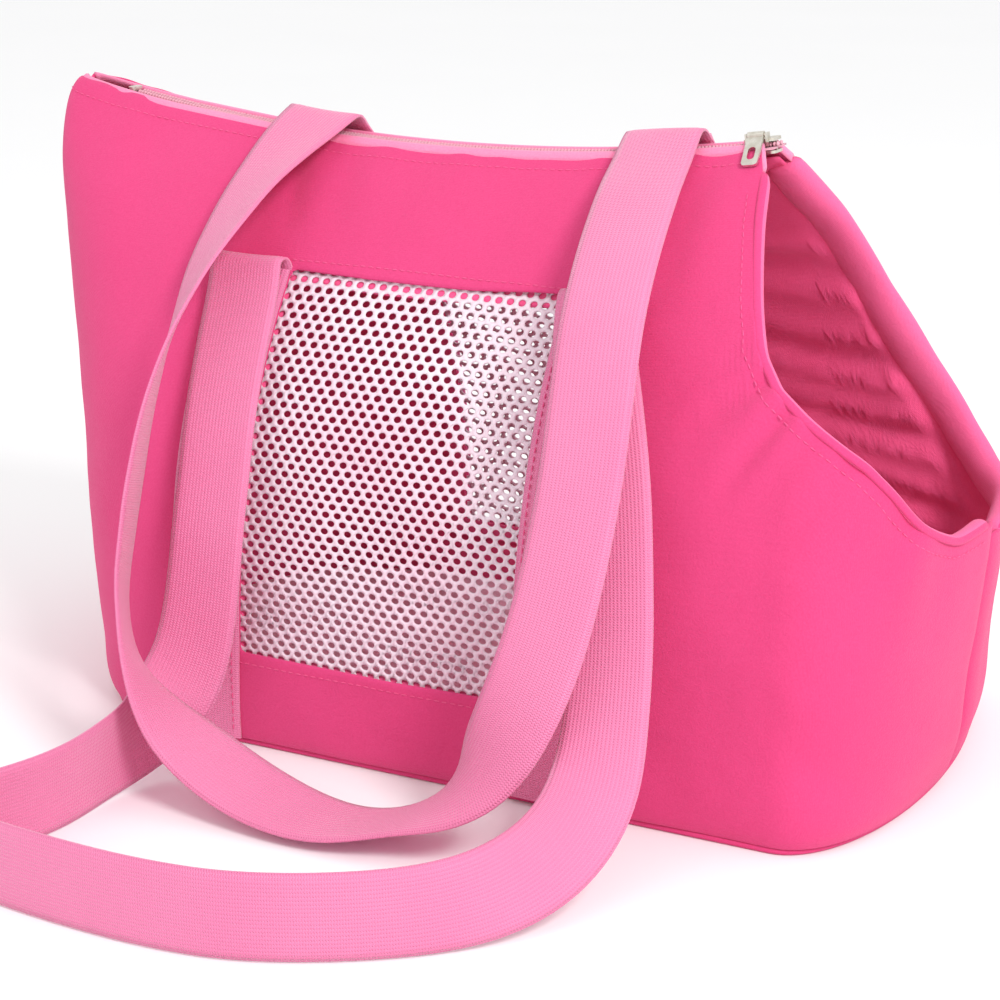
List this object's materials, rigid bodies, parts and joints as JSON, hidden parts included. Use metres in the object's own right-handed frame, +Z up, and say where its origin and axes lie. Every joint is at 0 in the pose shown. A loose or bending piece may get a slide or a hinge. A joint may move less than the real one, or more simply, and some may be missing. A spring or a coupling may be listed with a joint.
{
  "type": "pet carrier shoulder bag",
  "caption": "Soft shoulder carrier for a small pet: zipped ridge, scooped head opening, mesh side windows and webbing handles over a stiff padded base.",
  "frame": {"origin": "on the floor at the middle of the base's near-to-far width, 165 mm ahead of the base's rear end", "axes": "+X towards the head opening, -Y the near side, +Z up"},
  "size_m": [0.4128, 0.3646, 0.2507],
  "materials": {
    "shell_fabric": "soft brushed pink weave",
    "lining_fabric": "smooth pink weave",
    "window_mesh": "open white knit mesh",
    "binding_tape": "light pink tape",
    "base_board": "plain sheet",
    "cushion_fabric": "pale pink fleece",
    "zip_tape": "woven tape",
    "zip_chain": "coil",
    "zip_metal": "satin metal",
    "webbing": "light pink ribbed webbing"
  },
  "bodies": {
    "bag": {"near_side_panel": "shell_fabric", "far_side_panel": "shell_fabric", "near_lining": "lining_fabric", "far_lining": "lining_fabric", "near_mesh_window": "window_mesh", "far_mesh_window": "window_mesh", "near_window_tape": "binding_tape", "far_window_tape": "binding_tape", "near_opening_facing": "binding_tape", "far_opening_facing": "binding_tape", "base_panel": "shell_fabric", "base_board": "base_board", "base_cushion": "cushion_fabric", "near_zip_tape": "zip_tape", "far_zip_tape": "zip_tape", "near_zip_chain": "zip_chain", "far_zip_chain": "zip_chain", "zip_rear_stop": "zip_metal", "near_rear_strap": "webbing", "near_front_strap": "webbing", "far_rear_strap": "webbing", "far_front_strap": "webbing", "far_rear_riser": "webbing", "far_front_riser": "webbing"},
    "slider": {"zip_slider": "zip_metal"},
    "pull": {"zip_pull": "zip_metal"},
    "near_handle": {"near_handle_loop": "webbing"},
    "far_handle": {"far_handle_loop": "webbing"}
  },
  "joints": [
    {"name": "zip_run", "type": "hinge", "parent": "bag", "child": "slider", "pos_m": [-0.02, 0, 1.11097], "axis": [0, 1, 0], "range_deg": [0, 17.8]},
    {"name": "pull_flip", "type": "hinge", "parent": "slider", "child": "pull", "pos_m": [0.11072, -0.0058, 0.24564], "axis": [-0.9888, 0, -0.1494], "range_deg": [0, 200]},
    {"name": "far_handle_lift", "type": "hinge", "parent": "bag", "child": "far_handle", "pos_m": [-0.0035, -0.0008, 0.24415], "axis": [-0.9999, 0, -0.0139], "range_deg": [0, 120]},
    {"name": "near_handle_lift", "type": "hinge", "parent": "bag", "child": "near_handle", "pos_m": [-0.005, -0.06, 0.186], "axis": [-1, 0, 0], "range_deg": [0, 96]}
  ],
  "couplings": [
    {"joint": "near_handle_lift", "follows": "far_handle_lift", "ratio": 0.8}
  ]
}
